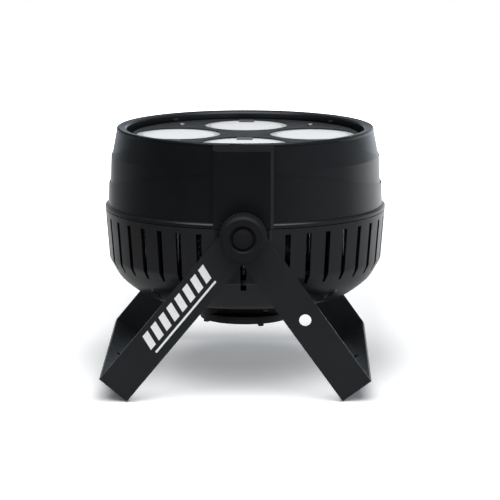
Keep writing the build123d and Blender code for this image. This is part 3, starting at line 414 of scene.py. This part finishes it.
LENS_RISE = 0.001  # the lens stands this far above its flange
FIN_SHADE_HEIGHTS = (0.11, 0.115)  # the fins carry painted shade below the first height and none above the second


def dress(finish, *node_names):
    """Give CAD nodes a finish, in every material slot they have."""
    for node_name in node_names:
        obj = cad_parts[node_name]
        for slot in obj.material_slots:
            slot.material = finish.material
        if not obj.material_slots:
            obj.data.materials.append(finish.material)


def dress_all():
    """Every CAD node's finish."""
    lens_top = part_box("lens_front")[1][2]
    dress(moulded_plastic("housing_black", 0.005, 0.3), "front_housing", "rear_housing")
    dress(moulded_plastic("pod_black", 0.004, 0.5), "pod_housing")
    # painted light: the cover's plastic is lighter than the housing's, to lift its shaded ledge
    dress(moulded_plastic("cover_black_painted_lighter", 0.016, 0.5), "control_cover")
    dress(moulded_plastic("knob_black", 0.006, 0.6, 0.22), "knob_front", "knob_back")
    dress(powder_coat("panel_black", 0.017, 0.5), "front_panel")
    dress(powder_coat("bracket_black", 0.009), "outer_bracket", "inner_bracket", "safety_lug")
    dress(milky_lens("milky_lens", lens_top - LENS_RISE),
          "lens_front", "lens_back", "lens_left", "lens_right")
    dress(moulded_plastic("clip_grey", 0.09), "lens_clips")
    dress(bare_metal("zinc", (0.58, 0.59, 0.61), 0.35, 0.0008),
          "stud_front", "stud_back", "pivot_inserts", "driver_standoffs", "panel_screws")
    dress(soft_rubber("washer_black", 0.02), "friction_washers", "spacer_washers")
    dress(powder_coat("screw_black", 0.035, 0.35),
          "housing_screws", "cover_screws", "socket_screws", "lug_screws")
    dress(bare_metal("cast_aluminium", ALUMINIUM, 0.34, 0.0006, (1, 1, 8)), "led_plate")
    dress(shaded_fin_aluminium("shaded_fin_aluminium", *FIN_SHADE_HEIGHTS), "heat_sink")
    dress(bare_metal("reflector_coat", (0.86, 0.87, 0.88), 0.12, 0.001), "reflectors")
    dress(phosphor("phosphor"), "led_modules")
    dress(circuit_board("solder_mask"), "driver_board", "control_board")
    dress(moulded_plastic("fan_black", 0.02, 0.5), "fan_frame", "fan_rotor")
    dress(smoked_window("smoked_window"), "display_window")
    dress(moulded_plastic("display_body", 0.03), "display_module")
    dress(moulded_plastic("socket_black", 0.018, 0.4), "data_in", "data_out", "power_out")
    dress(moulded_plastic("inlet_grey", 0.05, 0.4), "power_in")
    dress(soft_rubber("button_grey", 0.25),
          "button_menu", "button_down", "button_up", "button_enter", "data_out_latch")


# ---------------------------------------------------------------- fine pieces, in millimetres on a sheet
SUNK = -0.05  # flat pieces start this far inside their surface
FILM_T = 0.1  # ink and display segments stand out this far


class Sheet:
    """A flat place for thin pieces: an origin, two directions across it and its normal."""

    def __init__(self, origin, right, up):
        self.origin = Vector(origin)
        self.right = Vector(right).normalized()
        self.up = Vector(up).normalized()
        self.normal = self.right.cross(self.up)

    def point(self, across, along, out):
        """The point in metres from millimetres across, along and out of the sheet."""
        return self.origin + (self.right * across + self.up * along + self.normal * out) * MM


def add_prism(mesh, sheet, outline, low, high, bevel=0.0):
    """A closed prism on an outline in millimetres, its top edge bevelled."""
    centre_x = sum(x for x, _ in outline) / len(outline)
    centre_y = sum(y for _, y in outline) / len(outline)

    def ring(inset, out):
        points = []
        for x, y in outline:
            reach = hypot(x - centre_x, y - centre_y)
            part = 1 - inset / reach
            points.append((centre_x + (x - centre_x) * part, centre_y + (y - centre_y) * part, out))
        return [mesh.verts.new(sheet.point(*point)) for point in points]

    rings = [ring(0, low), ring(0, high - bevel)]
    if bevel:
        rings.append(ring(bevel * sqrt(2), high))
    for lower, upper in zip(rings, rings[1:]):
        for i, corner in enumerate(lower):
            after = (i + 1) % len(lower)
            mesh.faces.new((corner, lower[after], upper[after], upper[i]))
    mesh.faces.new(list(reversed(rings[0])))
    mesh.faces.new(rings[-1])


def rounded(width, height, radius, middle=(0, 0), steps=5):
    """The outline of a rounded rectangle, anticlockwise."""
    outline = []
    for sign_x, sign_y, start in ((1, 1, 0), (-1, 1, 90), (-1, -1, 180), (1, -1, 270)):
        for step in range(steps + 1):
            angle = radians(start + 90 * step / steps)
            outline.append((
                middle[0] + sign_x * (width / 2 - radius) + radius * cos(angle),
                middle[1] + sign_y * (height / 2 - radius) + radius * sin(angle),
            ))
    return outline


def disc(radius, middle, steps=24):
    return [(middle[0] + radius * cos(2 * pi * i / steps), middle[1] + radius * sin(2 * pi * i / steps))
            for i in range(steps)]


def add_piece(name, mesh, finish, body):
    """A new object from a bmesh, riding on a body."""
    bmesh.ops.recalc_face_normals(mesh, faces=mesh.faces)
    data = bpy.data.meshes.new(name)
    mesh.to_mesh(data)
    mesh.free()
    data.materials.append(finish.material)
    piece = bpy.data.objects.new(name, data)
    bpy.context.collection.objects.link(piece)
    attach(piece, body)


LEG_ANGLE = radians(50.41)  # the outer bracket's legs, below the horizontal
LINE_L, LINE_W, LINE_MIDDLE = 80, 1.8, (-85, -7)
BARS, BAR_PITCH, BAR_W, BAR_SLANT = 8, 10.6, 6.6, 4.5
FIRST_BAR, BAR_LOW, BAR_HIGH = -126, -2.5, 10.5  # along the leg from the pivot, and across it


def add_leg_stripes():
    """Plain slanted bars over one thin line, printed on the left leg."""
    stud_low, stud_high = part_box("stud_front")
    pivot = (0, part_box("outer_bracket")[0][1], (stud_low[2] + stud_high[2]) / 2)
    upward = Vector((cos(LEG_ANGLE), 0, sin(LEG_ANGLE)))
    leg = Sheet(pivot, upward, Vector((0, -1, 0)).cross(upward))
    mesh = bmesh.new()
    for bar in range(BARS):
        low_end = FIRST_BAR + bar * BAR_PITCH
        high_end = low_end + BAR_SLANT
        outline = ((low_end, BAR_LOW), (low_end + BAR_W, BAR_LOW),
                   (high_end + BAR_W, BAR_HIGH), (high_end, BAR_HIGH))
        add_prism(mesh, leg, outline, SUNK, FILM_T)
    add_prism(mesh, leg, rounded(LINE_L, LINE_W, LINE_W / 3, LINE_MIDDLE), SUNK, FILM_T)
    add_piece("leg_stripes", mesh, screen_print("screen_print"), "outer_bracket")


SEGMENTS = {"0": "abcdef", "1": "bc"}  # lettered clockwise from the top
DIGIT_W, DIGIT_H, SEGMENT_W = 6.0, 11.0, 1.3
DIGIT_PITCH, FIRST_DIGIT = 9.5, -12.5


def segment_outline(segment, left):
    """A six-sided bar for one segment of a digit whose left edge is given."""
    half, gap = SEGMENT_W / 2, 0.2
    rows = {"a": DIGIT_H, "d": 0}
    if segment in rows:
        y, low, high = rows[segment], left + gap, left + DIGIT_W - gap
        return ((low, y), (low + half, y - half), (high - half, y - half), (high, y),
                (high - half, y + half), (low + half, y + half))
    x = left + (DIGIT_W if segment in "bc" else 0)
    base = DIGIT_H / 2 if segment in "bf" else 0
    low, high = base + gap, base + DIGIT_H / 2 - gap
    return ((x, low), (x + half, low + half), (x + half, high - half), (x, high),
            (x - half, high - half), (x - half, low + half))


def add_display_digits():
    """Three lit digits on the display, which reads from below."""
    _, low_y, low_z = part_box("display_module")[0]
    margin = 3 * MM
    face = Sheet((0, low_y + margin, low_z), (-1, 0, 0), (0, 1, 0))
    mesh = bmesh.new()
    for place, digit in enumerate("001"):
        for segment in SEGMENTS[digit]:
            outline = segment_outline(segment, FIRST_DIGIT + place * DIGIT_PITCH)
            add_prism(mesh, face, outline, SUNK, FILM_T)
    add_piece("display_digits", mesh, lit_segment("display_segment"), "head")


POD_FRONT_Y = -0.027
POD_RECESS = -1.2  # the floor of the port and of the sensor's window
PORT_X, PORT_Z = -19.5, 58
SENSOR_X, SENSOR_Z = 18.6, 59.5
TAB_SHIFT = 1.7  # the flap's tab stands nearer to its inner end


def add_pod_details():
    """A rubber flap in the service port, and the sensor's dark lens."""
    front = Sheet((0, POD_FRONT_Y, 0), (1, 0, 0), (0, 0, 1))
    mesh = bmesh.new()
    add_prism(mesh, front, rounded(9.8, 4.0, 0.9, (PORT_X, PORT_Z)), POD_RECESS, 0.15, 0.2)
    add_prism(mesh, front, rounded(3.2, 1.0, 0.4, (PORT_X + TAB_SHIFT, PORT_Z)), 0.1, 0.6, 0.15)
    add_piece("service_flap", mesh, soft_rubber("flap_rubber", 0.012), "head")
    mesh = bmesh.new()
    add_prism(mesh, front, rounded(4.9, 2.5, 0.4, (SENSOR_X, SENSOR_Z)), POD_RECESS, 0.1, 0.25)
    add_piece("sensor_lens", mesh, moulded_plastic("sensor_smoke", 0.003, 0.15), "head")


PLATE_Y = -0.0605
PLATE_W, PLATE_H, PLATE_T = 58, 26, 0.4
PLATE_ROWS, ROW_PITCH, LOWEST_ROW = 4, 5, -7.5
RIVET_R, RIVET_INSET = 1.3, 2.8


def add_rating_plate():
    """A blank plate with ruled fields, riveted to the underside in front of the pod."""
    underside_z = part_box("rear_housing")[0][2]
    under = Sheet((0, PLATE_Y, underside_z), (-1, 0, 0), (0, 1, 0))
    on_plate = PLATE_T + SUNK
    mesh = bmesh.new()
    add_prism(mesh, under, rounded(PLATE_W, PLATE_H, 2), SUNK, PLATE_T, 0.1)
    for row in range(PLATE_ROWS):
        line = rounded(46, 0.5, 0.2, (0, LOWEST_ROW + ROW_PITCH * row))
        add_prism(mesh, under, line, on_plate, 0.5)
    rivet_x, rivet_y = PLATE_W / 2 - RIVET_INSET, PLATE_H / 2 - RIVET_INSET
    for x in (-rivet_x, rivet_x):
        for y in (-rivet_y, rivet_y):
            add_prism(mesh, under, disc(RIVET_R, (x, y)), on_plate, 1.0, 0.35)
    finish = bare_metal("plate_metal", (0.5, 0.51, 0.53), 0.3, 0.0005, (12, 1, 1))
    add_piece("rating_plate", mesh, finish, "head")


SNAPS = (-142, 133, -47, 47)  # degrees from the front, round the rim's wall
WALL_R = 104.9
SNAP_Z = 214.9
SNAP_OUT, SNAP_IN = 0.3, 1.5  # how far a snap reaches outwards into the wall, and inwards


def add_rim_snaps():
    """Small snaps on the inner wall of the rim, just above the panel."""
    mesh = bmesh.new()
    for azimuth in SNAPS:
        angle = radians(azimuth)
        out = Vector((sin(angle), -cos(angle), 0))
        wall = Sheet(out * (WALL_R * MM), (-out.y, out.x, 0), (0, 0, 1))
        add_prism(mesh, wall, rounded(5.0, 1.6, 0.5, (0, SNAP_Z)), -SNAP_IN, SNAP_OUT)
    add_piece("rim_snaps", mesh, moulded_plastic("snap_black", 0.03, 0.35), "head")


dress_all()
add_leg_stripes()
add_display_digits()
add_pod_details()
add_rating_plate()
add_rim_snaps()


add_camera()
add_studio()
